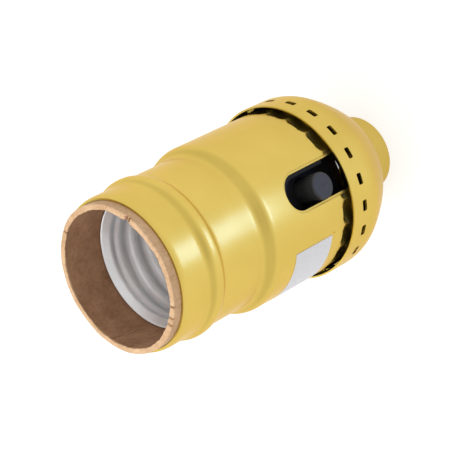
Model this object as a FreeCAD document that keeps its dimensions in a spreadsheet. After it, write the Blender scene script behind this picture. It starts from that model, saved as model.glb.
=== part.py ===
import FreeCAD, Part
import math
import os

import Sketcher

# Edison-screw lamp holder with a pressed metal cap and shell and a push-through switch.
# The holder stands on its neck: +Z runs from the neck to the mouth, and the origin is the
# centre of the neck's end face. The switch bar lies along Y, flush at -Y and standing out at +Y.
# All sizes are in millimetres.

SIZES = {
    # how far each cutting tool runs past the face that it cuts
    "overcut": 1.0,
    # cap: neck, dome and skirt, drawn from one sheet
    "cap_sheet": 0.45,
    "neck_radius": 8.5,
    "neck_end_round": 0.4,
    "neck_straight": 6.45,
    "neck_root_round": 1.3,
    "dome_low_inset": 5.23,
    "dome_low_height": 10.0,
    "dome_low_bend": 5.45,
    "dome_mid_inset": 0.94,
    "dome_mid_height": 17.0,
    "dome_mid_bend": 46.2,
    "dome_top_height": 21.0,
    "dome_top_bend": 8.98,
    "cap_radius": 19.3,
    "cap_rim_height": 26.5,
    # ring of catch slots round the skirt, each with a small lip pressed inwards
    "slot_count": 21,
    "slot_turn": 10.5,
    "slot_height": 23.0,
    "slot_width": 2.4,
    "slot_opening": 1.25,
    "slot_end_round": 0.9,
    "lip_reach": 0.5,
    "lip_thick": 0.45,
    # bush that carries the pipe thread, and its set screw
    "bush_gap": 0.05,
    "bush_bore": 4.6,
    "bush_flange_radius": 9.7,
    "bush_flange_thick": 1.8,
    "bush_height": 12.5,
    "bush_chamfer": 0.4,
    "set_screw_radius": 1.6,
    "set_screw_height": 3.6,
    "set_screw_hole_gap": 0.1,
    "set_screw_tip_gap": 0.2,
    "set_screw_stand_out": 0.9,
    "set_screw_slot": 0.6,
    # shell: barrel, waist, bead and mouth, drawn from one sheet
    "shell_sheet": 0.4,
    "barrel_inset": 1.2,
    "shell_foot": 19.6,
    "shoulder_foot": 48.3,
    "shoulder_top": 52.3,
    "waist_step": 1.63,
    "bead_foot": 61.9,
    "bead_step": 0.61,
    "bead_crown": 64.2,
    "bead_flat": 0.4,
    "bead_end": 67.2,
    "front_step": 0.88,
    "mouth_bend_rise": 1.7,
    "mouth_bend": 4.2,
    "mouth_step": 0.3,
    "mouth_height": 73.5,
    # scalloped dents in the shell's foot, one behind each catch slot
    "dent_depth": 0.9,
    "dent_round": 5.5,
    "dent_straight_top": 27.2,
    "dent_top_round": 1.5,
    # key notches for the switch bar, front and back
    "notch_radius": 4.38,
    "notch_centre_height": 38.6,
    "notch_turn": 3.1,
    # paper tube between the shell and the screw shell
    "liner_gap": 0.1,
    "liner_wall": 1.0,
    "liner_stand_out": 2.1,
    # blank label on the barrel
    "label_foot": 32.2,
    "label_height": 11.1,
    "label_thick": 0.1,
    "label_turn": 172.0,
    "label_sweep": 63.5,
    # moulded cover: floor that carries the screw shell, and a skirt that lines the barrel
    "cover_gap": 0.3,
    "cover_top": 47.5,
    "cover_floor": 43.0,
    "skirt_wall": 0.9,
    "skirt_foot": 29.2,
    "skirt_slot_gap": 1.1,
    "skirt_slot_top": 42.2,
    "boss_radius": 6.1,
    "boss_rise": 1.4,
    # moulded block: carries the bar, the rocker and the terminals
    "block_radius": 13.0,
    "block_foot": 22.5,
    "block_chamfer": 0.8,
    "joint_gap": 0.05,
    "well_half_width": 3.0,
    "well_half_length": 5.3,
    "well_floor": 28.6,
    # screw shell
    "thread_inner": 12.7,
    "thread_outer": 13.25,
    "screw_base_thick": 0.5,
    "screw_base_hole": 6.2,
    "screw_rim_foot": 65.2,
    "screw_rim_radius": 14.1,
    "screw_rim_top": 66.0,
    # switch bar
    "bar_radius": 2.85,
    "bar_length": 43.2,
    "bar_height": 32.8,
    "bar_stand_in": 18.6,
    "bar_end_round": 0.5,
    "bar_travel": 6.0,
    "bar_channel_gap": 0.08,
    "bar_slot_half": 1.35,
    "bar_slot_depth": 2.5,
    # rocking contact, driven by the bar
    "rocker_pivot_height": 40.6,
    "rocker_reach": 6.3,
    "rocker_tip_radius": 1.0,
    "rocker_hub_radius": 1.7,
    "rocker_arm_thick": 1.0,
    "rocker_width": 3.6,
    "rocker_button_reach": 3.0,
    "pin_radius": 0.8,
    "pin_gap": 0.05,
    "pin_bite": 3.0,
    # contact strips, their terminals and screws
    "strip_thick": 0.6,
    "strip_gap": 0.1,
    "blade_face": 3.3,
    "blade_side": 3.5,
    "blade_width": 3.0,
    "blade_foot": 36.3,
    "blade_top": 39.8,
    "button_radius": 1.0,
    "button_thick": 0.45,
    "terminal_offset": 8.5,
    "terminal_half": 3.4,
    "terminal_overhang": 5.0,
    "terminal_screw_radius": 1.75,
    "terminal_head_radius": 3.3,
    "terminal_head_thick": 1.9,
    "terminal_screw_bite": 6.0,
    "neutral_offset": 11.2,
    "neutral_half": 2.0,
    "screw_slot": 0.8,
    "screw_slot_depth": 0.9,
    "body_screw_offset": 8.8,
    "body_screw_radius": 1.5,
    "body_screw_head": 2.5,
    "body_screw_head_thick": 1.4,
    "body_screw_foot": 26.5,
    # lamp contact and its rivet
    "contact_half": 2.5,
    "contact_leaf_rise": 2.2,
    "contact_leaf_reach": 5.2,
    "rivet_radius": 1.2,
    "rivet_head_radius": 2.0,
    "rivet_head_thick": 0.7,
    "rivet_relief": 1.0,
}

doc = FreeCAD.newDocument("lamp_holder")


class Size:
    """A length that knows both its number and the expression that gives it in the sheet."""

    def __init__(self, number, text):
        self.number = number
        self.text = text

    def __add__(self, other):
        return Size(self.number + number_of(other), "(%s + %s)" % (self.text, text_of(other)))

    def __sub__(self, other):
        return Size(self.number - number_of(other), "(%s - %s)" % (self.text, text_of(other)))

    def __mul__(self, other):
        return Size(self.number * number_of(other), "(%s * %s)" % (self.text, text_of(other)))

    def __truediv__(self, other):
        return Size(self.number / number_of(other), "(%s / %s)" % (self.text, text_of(other)))

    def __neg__(self):
        return Size(-self.number, "(0 - %s)" % self.text)


def number_of(value):
    return value.number if isinstance(value, Size) else float(value)


def text_of(value):
    return value.text if isinstance(value, Size) else repr(float(value))


def root(value):
    return Size(math.sqrt(value.number), "sqrt(%s)" % value.text)


def angle_of_sine(value):
    return Size(math.degrees(math.asin(value.number)), "asin(%s)" % value.text)


def make_sheet():
    """Writes the driving sizes to the spreadsheet, one alias each."""
    sheet = doc.addObject("Spreadsheet::Sheet", "Sizes")
    for row, (name, value) in enumerate(SIZES.items(), start=1):
        sheet.set("A%d" % row, name)
        sheet.set("B%d" % row, str(value))
        sheet.setAlias("B%d" % row, name)
    doc.recompute()
    return sheet


sheet = make_sheet()


def size(name):
    return Size(float(sheet.get(name)), "Sizes." + name)


def bind(thing, prop, value):
    """Ties one property to the sheet, or sets it where the value is a plain number."""
    if isinstance(value, Size):
        thing.setExpression(prop, value.text)
    else:
        setattr(thing, prop, value)


def place(thing, x=0.0, y=0.0, z=0.0, axis=(0, 0, 1), turn=0.0):
    """Sets where a thing lies: a turn about an axis, then a shift tied to the sheet."""
    base = FreeCAD.Vector(number_of(x), number_of(y), number_of(z))
    thing.Placement = FreeCAD.Placement(base, FreeCAD.Rotation(FreeCAD.Vector(*axis), number_of(turn)))
    for letter, value in (("x", x), ("y", y), ("z", z)):
        if isinstance(value, Size):
            thing.setExpression("Placement.Base." + letter, value.text)
    if isinstance(turn, Size):
        thing.setExpression("Placement.Rotation.Angle", turn.text)
    return thing


OVER = size("overcut")
NOTHING = Size(0.0, "0")


# ---- sketches and revolved bodies ----

def origin_feature(body, role):
    for feature in body.Origin.OriginFeatures:
        if feature.Role == role:
            return feature
    raise RuntimeError("no origin feature " + role)


def new_body(name):
    body = doc.addObject("PartDesign::Body", name)
    body.Label = name
    return body


def new_sketch(body, name, role="XZ_Plane", shift=None):
    """A sketch on one of the body's origin planes, moved in that plane by (x, y)."""
    sketch = body.newObject("Sketcher::SketchObject", name)
    sketch.AttachmentSupport = [(origin_feature(body, role), "")]
    sketch.MapMode = "FlatFace"
    if shift is not None:
        base = FreeCAD.Vector(number_of(shift[0]), number_of(shift[1]), 0)
        sketch.AttachmentOffset = FreeCAD.Placement(base, FreeCAD.Rotation())
        for letter, value in zip("xy", shift):
            if isinstance(value, Size):
                sketch.setExpression("AttachmentOffset.Base." + letter, value.text)
    return sketch


def arc_between(start, stop, radius, turn):
    """The short arc from start to stop: turn 1 has its centre on the left of travel, -1 on the right."""
    chord = stop - start
    half = chord.Length / 2.0
    rise = math.sqrt(max(radius * radius - half * half, 0.0))
    left = FreeCAD.Vector(-chord.y, chord.x, 0).normalize()
    centre = (start + stop) * 0.5 + left * (rise * turn)
    circle = Part.Circle(centre, FreeCAD.Vector(0, 0, 1), radius)
    first = math.atan2(start.y - centre.y, start.x - centre.x)
    last = math.atan2(stop.y - centre.y, stop.x - centre.x)
    if turn > 0:
        return Part.ArcOfCircle(circle, first, last)
    return Part.ArcOfCircle(circle, last, first)


def tie(sketch, constraint, name, value):
    index = sketch.addConstraint(constraint)
    if isinstance(value, Size):
        sketch.renameConstraint(index, name)
        sketch.setExpression("Constraints." + name, value.text)


def outline(sketch, corners):
    """Draws a closed outline. Each corner is (x, y) or (x, y, radius, turn): with a radius, the
    stretch to the next corner is an arc. Every corner and radius is tied to the sheet."""
    points = [FreeCAD.Vector(number_of(corner[0]), number_of(corner[1]), 0) for corner in corners]
    ends = []
    for index, corner in enumerate(corners):
        start = points[index]
        stop = points[(index + 1) % len(points)]
        if len(corner) == 2:
            geometry = sketch.addGeometry(Part.LineSegment(start, stop))
            ends.append((geometry, 1, 2))
            continue
        geometry = sketch.addGeometry(arc_between(start, stop, number_of(corner[2]), corner[3]))
        ends.append((geometry, 1, 2) if corner[3] > 0 else (geometry, 2, 1))
    for index, corner in enumerate(corners):
        geometry, first, last = ends[index]
        following, next_first, _ = ends[(index + 1) % len(ends)]
        sketch.addConstraint(Sketcher.Constraint("Coincident", geometry, last, following, next_first))
        for letter, value, axis in (("X", corner[0], -2), ("Y", corner[1], -1)):
            if abs(number_of(value)) < 1e-9:
                sketch.addConstraint(Sketcher.Constraint("PointOnObject", geometry, first, axis))
                continue
            distance = Sketcher.Constraint("Distance" + letter, -1, 1, geometry, first, number_of(value))
            tie(sketch, distance, "at%s%d" % (letter, index), value)
        if len(corner) == 4:
            radius = Sketcher.Constraint("Radius", geometry, number_of(corner[2]))
            tie(sketch, radius, "bend%d" % index, corner[2])


def revolve(body, corners, kind="Revolution", role="XZ_Plane", shift=None):
    """Turns an outline about its sketch's vertical axis, as added or as cut material."""
    name = "%s_%s%d" % (body.Name, kind.lower(), len(body.Group))
    sketch = new_sketch(body, name + "_sketch", role, shift)
    outline(sketch, corners)
    feature = body.newObject("PartDesign::" + kind, name)
    feature.Profile = sketch
    feature.ReferenceAxis = (sketch, ["V_Axis"])
    feature.Angle = 360
    body.Tip = feature
    doc.recompute()
    return feature


def ring_of(body, feature, count):
    """Repeats a feature round the body's Z axis."""
    pattern = body.newObject("PartDesign::PolarPattern", feature.Name + "_ring")
    pattern.Originals = [feature]
    pattern.Axis = (origin_feature(body, "Z_Axis"), [""])
    pattern.Angle = 360
    bind(pattern, "Occurrences", count)
    body.Tip = pattern
    doc.recompute()
    return pattern


def turned(name, corners):
    body = new_body(name)
    revolve(body, corners)
    return body


# ---- primitives and booleans ----

def box(name, x, y, z):
    """A box between two corners: each of x, y and z is (low, high)."""
    solid = doc.addObject("Part::Box", name)
    for prop, (low, high) in (("Length", x), ("Width", y), ("Height", z)):
        span = high - low
        bind(solid, prop, span)
    return place(solid, x[0], y[0], z[0])


def rod(name, radius, length, x=0.0, y=0.0, z=0.0, axis=(0, 0, 1), turn=0.0):
    solid = doc.addObject("Part::Cylinder", name)
    bind(solid, "Radius", radius)
    bind(solid, "Height", length)
    return place(solid, x, y, z, axis, turn)


def fuse(name, shapes):
    solid = doc.addObject("Part::MultiFuse", name)
    solid.Shapes = shapes
    solid.Label = name
    solid.Refine = True
    return solid


def cut(name, base, tools):
    tool = tools[0] if len(tools) == 1 else fuse(name + "_tools", tools)
    solid = doc.addObject("Part::Cut", name)
    solid.Base = base
    solid.Tool = tool
    solid.Label = name
    solid.Refine = True
    return solid


def bend_radius(rise, step):
    """The radius of the two equal arcs of an S bend that rises and steps sideways."""
    return (rise * rise + step * step) / (step * 4)


def bend_corners(low, high, turn):
    """The first two corners of an S bend between two upright walls; low and high are (r, z)."""
    step = (high[0] - low[0]) if turn < 0 else (low[0] - high[0])
    radius = bend_radius(high[1] - low[1], step)
    middle = ((low[0] + high[0]) / 2, (low[1] + high[1]) / 2)
    return [(low[0], low[1], radius, turn), (middle[0], middle[1], radius, -turn)]


# ---- cap, bush and set screw ----

def dome_path():
    """The cap's outer dome, as (radius, height, lean): lean is the wall's angle from upright."""
    cap_radius = size("cap_radius")
    low = (cap_radius - size("dome_low_inset"), size("dome_low_height"))
    middle = (cap_radius - size("dome_mid_inset"), size("dome_mid_height"))
    top = (cap_radius, size("dome_top_height"))
    lean_middle = 2 * math.atan2(number_of(top[0] - middle[0]), number_of(top[1] - middle[1]))
    chord = math.atan2(number_of(middle[0] - low[0]), number_of(middle[1] - low[1]))
    return low, 2 * chord - lean_middle, middle, lean_middle, top


def cap_corners():
    sheet_thick = size("cap_sheet")
    outer = size("neck_radius")
    inner = outer - sheet_thick
    root = size("neck_root_round")
    neck_top = size("neck_straight")
    end_round = size("neck_end_round")
    rim = size("cap_rim_height")
    radius = size("cap_radius")
    low, low_lean, middle, middle_lean, top = dome_path()
    low_bend, middle_bend, top_bend = size("dome_low_bend"), size("dome_mid_bend"), size("dome_top_bend")
    low_in = (low[0] - sheet_thick * math.cos(low_lean), low[1] + sheet_thick * math.sin(low_lean))
    middle_in = (middle[0] - sheet_thick * math.cos(middle_lean),
                 middle[1] + sheet_thick * math.sin(middle_lean))
    return [
        (inner, 0.0),
        (outer - end_round, 0.0, end_round, 1),
        (outer, end_round),
        (outer, neck_top, root, -1),
        (outer + root, neck_top + root, low_bend, 1),
        (low[0], low[1], middle_bend, 1),
        (middle[0], middle[1], top_bend, 1),
        (top[0], top[1]),
        (radius, rim),
        (radius - sheet_thick, rim),
        (radius - sheet_thick, top[1], top_bend - sheet_thick, -1),
        (middle_in[0], middle_in[1], middle_bend - sheet_thick, -1),
        (low_in[0], low_in[1], low_bend - sheet_thick, -1),
        (outer + root, neck_top + root + sheet_thick, root + sheet_thick, 1),
        (inner, neck_top),
    ]


def make_cap():
    """Neck, dome and skirt of one sheet, with a ring of catch slots and their pressed lips."""
    body = new_body("cap_drawn")
    revolve(body, cap_corners())
    count = size("slot_count")
    width = size("slot_width")
    slot_foot = size("slot_height") - size("slot_opening") / 2
    slot_top = size("slot_height") + size("slot_opening") / 2
    wall = size("cap_radius") - size("cap_sheet")
    lip_sketch = new_sketch(body, "lip_sketch", "XY_Plane", (width / -2, -wall))
    outline(lip_sketch, [(0.0, 0.0), (width, 0.0), (width, size("lip_reach")), (0.0, size("lip_reach"))])
    lip_sketch.AttachmentOffset.Base.z = number_of(slot_top)
    lip_sketch.setExpression("AttachmentOffset.Base.z", slot_top.text)
    lip = body.newObject("PartDesign::Pad", "lip")
    lip.Profile = lip_sketch
    bind(lip, "Length", size("lip_thick"))
    body.Tip = lip
    doc.recompute()
    ring_of(body, lip, count)
    opening = size("slot_opening")
    end = size("slot_end_round")
    inset = end - root(end * end - opening * opening / 4)
    slot_sketch = new_sketch(body, "slot_sketch", "XZ_Plane", (width / -2, slot_foot))
    outline(slot_sketch, [(inset, 0.0), (width - inset, 0.0, end, 1),
                          (width - inset, opening), (inset, opening, end, 1)])
    slot = body.newObject("PartDesign::Pocket", "slot")
    slot.Profile = slot_sketch
    slot.Reversed = True
    bind(slot, "Length", size("cap_radius") + OVER)
    body.Tip = slot
    doc.recompute()
    ring_of(body, slot, count)
    place(body, turn=size("slot_turn"))
    hole = size("set_screw_radius") + size("set_screw_hole_gap")
    drill = rod("set_screw_hole", hole, size("neck_radius") + OVER, z=size("set_screw_height"),
                axis=(1, 0, 0), turn=-90)
    return cut("cap", body, [drill])


def make_bush():
    """Threaded bush pressed into the neck from inside; its flange sits in the dome."""
    radius = size("neck_radius") - size("cap_sheet") - size("bush_gap")
    chamfer = size("bush_chamfer")
    seat = size("neck_straight") + size("neck_root_round") + size("cap_sheet") + size("bush_gap")
    flange = size("bush_flange_radius")
    flange_top = seat + size("bush_flange_thick")
    bore = size("bush_bore")
    crown = size("bush_height")
    shank = turned("neck_bush_turned", [
        (bore, 0.0), (radius - chamfer, 0.0), (radius, chamfer),
        (radius, size("neck_straight")), (radius, seat), (flange, seat), (flange, flange_top),
        (radius - chamfer, flange_top), (radius - chamfer, crown), (bore, crown)])
    drill = rod("bush_screw_hole", size("set_screw_radius") + size("bush_gap"), size("neck_radius"),
                z=size("set_screw_height"), axis=(1, 0, 0), turn=-90)
    return cut("neck_bush", shank, [drill])


def make_set_screw():
    """Slotted screw that locks the pipe; it enters from the back."""
    radius = size("set_screw_radius")
    tip = size("bush_bore") + size("set_screw_tip_gap")
    end = size("neck_radius") + size("set_screw_stand_out")
    shank = rod("set_screw_shank", radius, end - tip, y=tip, z=size("set_screw_height"),
                axis=(1, 0, 0), turn=-90)
    half = size("set_screw_slot") / 2
    slot = box("set_screw_groove", (-radius * 2, radius * 2), (end - half * 2, end + OVER),
               (size("set_screw_height") - half, size("set_screw_height") + half))
    return cut("neck_set_screw", shank, [slot])


# ---- shell and its paper liner ----

def barrel_radius():
    return size("cap_radius") - size("barrel_inset")


def mouth_radius():
    front = barrel_radius() - size("waist_step") + size("bead_step") - size("front_step")
    return front - size("mouth_step")


def shell_corners(inset, foot, rise):
    """Barrel, shoulder, waist, bead, front and mouth, moved in by inset and filled to the axis."""
    barrel = barrel_radius() - inset
    waist = barrel - size("waist_step")
    bead = waist + size("bead_step")
    front = bead - size("front_step")
    mouth = front - size("mouth_step")
    crown = size("bead_crown")
    crown_end = crown + size("bead_flat")
    corners = [(0.0, foot), (barrel, foot)]
    corners += bend_corners((barrel, size("shoulder_foot")), (waist, size("shoulder_top")), 1)
    corners += [(waist, size("shoulder_top"))]
    corners += bend_corners((waist, size("bead_foot")), (bead, crown), -1)
    corners += [(bead, crown)]
    corners += bend_corners((bead, crown_end), (front, size("bead_end")), 1)
    corners += [(front, size("bead_end"))]
    corners += [(front, size("mouth_height") - size("mouth_bend_rise"), size("mouth_bend"), 1)]
    corners += [(mouth, size("mouth_height"))]
    if rise is not None:
        corners += [(mouth, size("mouth_height") + rise)]
    corners += [(0.0, corners[-1][1])]
    return corners


def dented(name, inset, foot, rise):
    """The shell's form as a full solid, with the scalloped dents round its foot."""
    body = new_body(name)
    revolve(body, shell_corners(inset, foot, rise))
    radius = size("dent_round") + inset
    top_round = size("dent_top_round") + inset
    straight = size("dent_straight_top")
    centre = barrel_radius() - size("dent_depth") + size("dent_round")
    below = size("shell_foot") - OVER * 2
    dent = revolve(body, [
        (0.0, below), (radius, below), (radius, straight, top_round, 1),
        (radius - top_round, straight + top_round), (0.0, straight + top_round)],
        kind="Groove", role="YZ_Plane", shift=(-centre, 0.0))
    ring_of(body, dent, size("slot_count"))
    place(body, turn=size("slot_turn"))
    return body


def make_shell():
    """Thin shell: the dented form, less the same form one sheet smaller, less the key notches."""
    sheet_thick = size("shell_sheet")
    outer = dented("shell_outside", NOTHING, size("shell_foot"), None)
    inner = dented("shell_inside", sheet_thick, size("shell_foot") - OVER, sheet_thick)
    skin = cut("shell_skin", outer, [inner])
    radius = size("notch_radius")
    reach = barrel_radius() + OVER
    centre = size("notch_centre_height")
    slot = box("notch_slot", (-radius, radius), (-reach, reach),
               (size("shell_foot") - OVER, centre))
    end = rod("notch_end", radius, reach * 2, y=reach, z=centre, axis=(1, 0, 0), turn=90)
    notch = place(fuse("notch", [slot, end]), turn=size("notch_turn"))
    return cut("shell", skin, [notch])


def make_liner():
    """Straight paper tube that stands on the moulding and shows at the mouth."""
    foot = size("cover_top")
    top = size("mouth_height") + size("liner_stand_out")
    outer = mouth_radius() - size("shell_sheet") - size("liner_gap")
    inner = outer - size("liner_wall")
    return turned("shell_liner", [(inner, foot), (outer, foot), (outer, top), (inner, top)])


def make_label():
    """Blank paper label, wrapped part of the way round the barrel beside the front notch."""
    foot = size("label_foot")
    height = size("label_height")
    paper = rod("label_paper", barrel_radius() + size("label_thick"), height, z=foot, turn=size("label_turn"))
    bind(paper, "Angle", size("label_sweep"))
    form = rod("label_form", barrel_radius(), height + OVER * 2, z=foot - OVER)
    return cut("blank_label", paper, [form])


# ---- moulded insulator: cover and block ----

def cover_radius():
    return barrel_radius() - size("shell_sheet") - size("cover_gap")


def along_y(name, radius, reach, height):
    """A round rod through the holder's axis, parallel to Y."""
    return rod(name, radius, reach * 2, y=reach, z=height, axis=(1, 0, 0), turn=90)


def body_screw_holes(name, low, high):
    radius = size("body_screw_radius") + size("strip_gap")
    offset = size("body_screw_offset")
    return [rod("%s_%s" % (name, side), radius, high - low, x=offset * sign, z=low)
            for side, sign in (("left", -1), ("right", 1))]


def neutral_slot(name, low, high):
    """Slot for the neutral strip, on its way up to the screw shell."""
    gap = size("strip_gap")
    half = size("neutral_half") + gap
    offset = size("neutral_offset")
    return box(name, (offset - gap, offset + size("strip_thick") + gap), (-half, half), (low, high))


def make_cover():
    """Cup over the block: its floor carries the screw shell and its skirt has a slot for each bar end."""
    radius = cover_radius()
    inner = radius - size("skirt_wall")
    floor = size("cover_floor")
    top = size("cover_top")
    crown = top + size("boss_rise")
    cup = turned("cover_cup", [
        (0.0, floor), (inner, floor), (inner, size("skirt_foot")), (radius, size("skirt_foot")),
        (radius, top), (size("boss_radius"), top), (size("boss_radius"), crown), (0.0, crown)])
    half = size("bar_radius") + size("skirt_slot_gap")
    reach = radius + OVER
    centre = size("skirt_slot_top") - half
    slot = box("skirt_slot", (-half, half), (-reach, reach), (size("skirt_foot") - OVER, centre))
    end = along_y("skirt_slot_end", half, reach, centre)
    rivet_hole = rod("rivet_hole", size("rivet_radius") + size("strip_gap"),
                     crown - floor + OVER * 2, z=floor - OVER)
    relief = rod("rivet_relief_hole", size("rivet_head_radius") + size("strip_gap"),
                 size("rivet_relief") + OVER, z=floor - OVER)
    strip_slot = neutral_slot("cover_neutral_slot", floor - OVER, top + OVER)
    tools = [slot, end, rivet_hole, relief, strip_slot]
    return cut("insulator_cover", cup, tools + body_screw_holes("cover_screw_hole", floor - OVER, top + OVER))


def make_block():
    """Block under the cover, bored for the bar and hollowed for the rocking contact."""
    foot = size("block_foot")
    top = size("cover_floor") - size("joint_gap")
    radius = size("block_radius")
    chamfer = size("block_chamfer")
    drum = turned("block_drum", [
        (0.0, foot), (radius - chamfer, foot), (radius, foot + chamfer), (radius, top), (0.0, top)])
    well = box("contact_well", (-size("well_half_width"), size("well_half_width")),
               (-size("well_half_length"), size("well_half_length")), (size("well_floor"), top + OVER))
    pin_length = (size("well_half_width") + size("pin_bite")) * 2
    pin_hole = rod("pin_hole", size("pin_radius"), pin_length, x=-(pin_length / 2),
                   z=size("rocker_pivot_height"), axis=(0, 1, 0), turn=90)
    channel = along_y("bar_channel", size("bar_radius") + size("bar_channel_gap"), radius + OVER * 2,
                      size("bar_height"))
    tapped = [rod("terminal_hole_" + side, size("terminal_screw_radius") + size("strip_gap"),
                  size("terminal_screw_bite") + OVER, y=size("terminal_offset") * sign, z=foot - OVER)
              for side, sign in (("line", -1), ("neutral", 1))]
    gap = size("strip_gap")
    face = size("blade_face")
    side = size("blade_side")
    far = side + size("blade_width") + gap
    across = (-(face + size("strip_thick") + gap), gap - face)
    blade_slot = box("blade_slot", (NOTHING, far), across, (size("blade_foot") - OVER, top + OVER))
    leg_slot = box("blade_leg_slot", (side - gap, far), across, (foot - OVER, top + OVER))
    strip_slot = neutral_slot("block_neutral_slot", foot - OVER, top + OVER)
    tools = [well, pin_hole, channel, blade_slot, leg_slot, strip_slot]
    holes = body_screw_holes("block_screw_hole", size("body_screw_foot") - OVER, top + OVER)
    return cut("insulator_block", drum, tools + tapped + holes)


# ---- screw shell and lamp contacts ----

def make_screw_shell():
    """Drawn screw shell: base ring, threaded wall and turned-out rim."""
    inner = size("thread_inner")
    outer = size("thread_outer")
    base = size("cover_top")
    rim = size("screw_rim_radius")
    rim_foot = size("screw_rim_foot")
    base_top = base + size("screw_base_thick")
    drawn = turned("screw_shell_drawn", [
        (size("screw_base_hole"), base), (outer, base), (outer, rim_foot),
        (rim, rim_foot), (rim, size("screw_rim_top")), (inner, size("screw_rim_top")),
        (inner, base_top), (size("screw_base_hole"), base_top)])
    offset = size("body_screw_offset")
    holes = [rod("base_hole_" + side, size("body_screw_radius") + size("strip_gap"),
                 size("screw_base_thick") + OVER * 2, x=offset * sign, z=base - OVER)
             for side, sign in (("left", -1), ("right", 1))]
    return cut("screw_shell", drawn, holes)


def make_centre_contact():
    """Sprung leaf that meets the lamp's centre contact."""
    floor = size("cover_top") + size("boss_rise")
    half = size("contact_half")
    thick = size("strip_thick")
    reach = size("contact_leaf_reach")
    foot = box("contact_foot", (-half, half), (-half, reach), (floor, floor + thick))
    rise = size("contact_leaf_rise")
    riser = box("contact_riser", (-half, half), (reach - thick, reach), (floor, floor + rise))
    leaf = box("contact_leaf", (-half, half), (-half, reach), (floor + rise - thick, floor + rise))
    blank = fuse("contact_blank", [foot, riser, leaf])
    hole = rod("contact_hole", size("rivet_radius") + size("strip_gap"), thick + OVER * 2, z=floor - OVER)
    return cut("centre_contact", blank, [hole])


def make_rivet():
    """Rivet that holds the centre contact to the moulding's floor."""
    floor = size("cover_top") + size("boss_rise") + size("strip_thick")
    foot = size("cover_floor") + size("rivet_relief")
    head = size("rivet_head_radius")
    shank = size("rivet_radius")
    thick = size("rivet_head_thick")
    return turned("centre_rivet", [
        (0.0, foot - thick), (head, foot - thick), (head, foot), (shank, foot),
        (shank, floor), (head, floor), (head, floor + thick), (0.0, floor + thick)])


def make_body_screw(name, sign):
    """Long screw that holds the screw shell, the cover and the block together."""
    seat = size("cover_top") + size("screw_base_thick")
    thick = size("body_screw_head_thick")
    radius = size("body_screw_radius")
    head = size("body_screw_head")
    foot = size("body_screw_foot")
    screw = turned(name + "_turned", [
        (0.0, foot), (radius, foot), (radius, seat), (head, seat),
        (head, seat + thick * 0.4, head * 2, 1), (radius, seat + thick), (0.0, seat + thick)])
    half = size("screw_slot") / 2
    slot = box(name + "_groove", (-head * 2, head * 2), (-half, half),
               (seat + thick - size("screw_slot_depth"), seat + thick + OVER))
    solid = cut(name, screw, [slot])
    return place(solid, x=size("body_screw_offset") * sign)


# ---- terminals and switch contacts ----

def make_line_strip():
    """Line terminal plate, its leg past the bar and the blade that the rocking contact meets."""
    foot = size("block_foot")
    thick = size("strip_thick")
    offset = size("terminal_offset")
    near = -(size("blade_face") + thick)
    plate = box("line_plate", (-size("terminal_half"), size("blade_side") + size("blade_width")),
                (-(offset + size("terminal_overhang")), near + thick), (foot - thick, foot))
    leg = box("line_leg", (size("blade_side"), size("blade_side") + size("blade_width")),
              (near, near + thick), (foot - thick, size("blade_top")))
    blade = box("line_blade", (-size("button_radius"), size("blade_side") + size("blade_width")),
                (near, near + thick), (size("blade_foot"), size("blade_top")))
    blank = fuse("line_blank", [plate, leg, blade])
    hole = rod("line_hole", size("terminal_screw_radius") + size("strip_gap"), thick + OVER * 2,
               y=-offset, z=foot - thick - OVER)
    return cut("line_strip", blank, [hole])


def labelled(solid, label):
    solid.Label = label
    return solid


def make_contact_button():
    """Silver contact button on the blade's face."""
    height = size("rocker_pivot_height") - size("rocker_button_reach")
    button = rod("blade_button", size("button_radius"), size("button_thick"), y=-size("blade_face"),
                 z=height, axis=(1, 0, 0), turn=-90)
    return labelled(button, "blade_button")


def make_neutral_strip():
    """Neutral terminal plate and its leg, up through block and cover to the screw shell's base."""
    foot = size("block_foot")
    thick = size("strip_thick")
    offset = size("terminal_offset")
    side = size("neutral_offset")
    half = size("neutral_half")
    near = offset - size("terminal_half")
    plate = box("neutral_plate", (-size("terminal_half"), size("terminal_half")),
                (near, offset + size("terminal_half")), (foot - thick, foot))
    bridge = box("neutral_bridge", (NOTHING, side + thick), (near, near + half), (foot - thick, foot))
    tab = box("neutral_tab", (side - half, side + thick), (-half, near + half), (foot - thick, foot))
    leg = box("neutral_leg", (side, side + thick), (-half, half), (foot - thick, size("cover_top")))
    blank = fuse("neutral_blank", [plate, bridge, tab, leg])
    hole = rod("neutral_hole", size("terminal_screw_radius") + size("strip_gap"), thick + OVER * 2,
               y=offset, z=foot - thick - OVER)
    return cut("neutral_strip", blank, [hole])


def make_terminal_screw(name, sign):
    """Binding-head screw, driven from the cap side."""
    seat = size("block_foot") - size("strip_thick")
    thick = size("terminal_head_thick")
    head = size("terminal_head_radius")
    radius = size("terminal_screw_radius")
    crown = size("block_foot") + size("terminal_screw_bite")
    screw = turned(name + "_turned", [
        (0.0, seat - thick), (head - thick * 0.5, seat - thick, thick * 0.6, 1),
        (head, seat - thick * 0.5), (head, seat), (radius, seat), (radius, crown), (0.0, crown)])
    half = size("screw_slot") / 2
    slot = box(name + "_groove", (-head * 2, head * 2), (-half, half),
               (seat - thick - OVER, seat - thick + size("screw_slot_depth")))
    solid = cut(name, screw, [slot])
    return place(solid, y=size("terminal_offset") * sign)


# ---- switch bar and rocking contact ----

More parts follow.
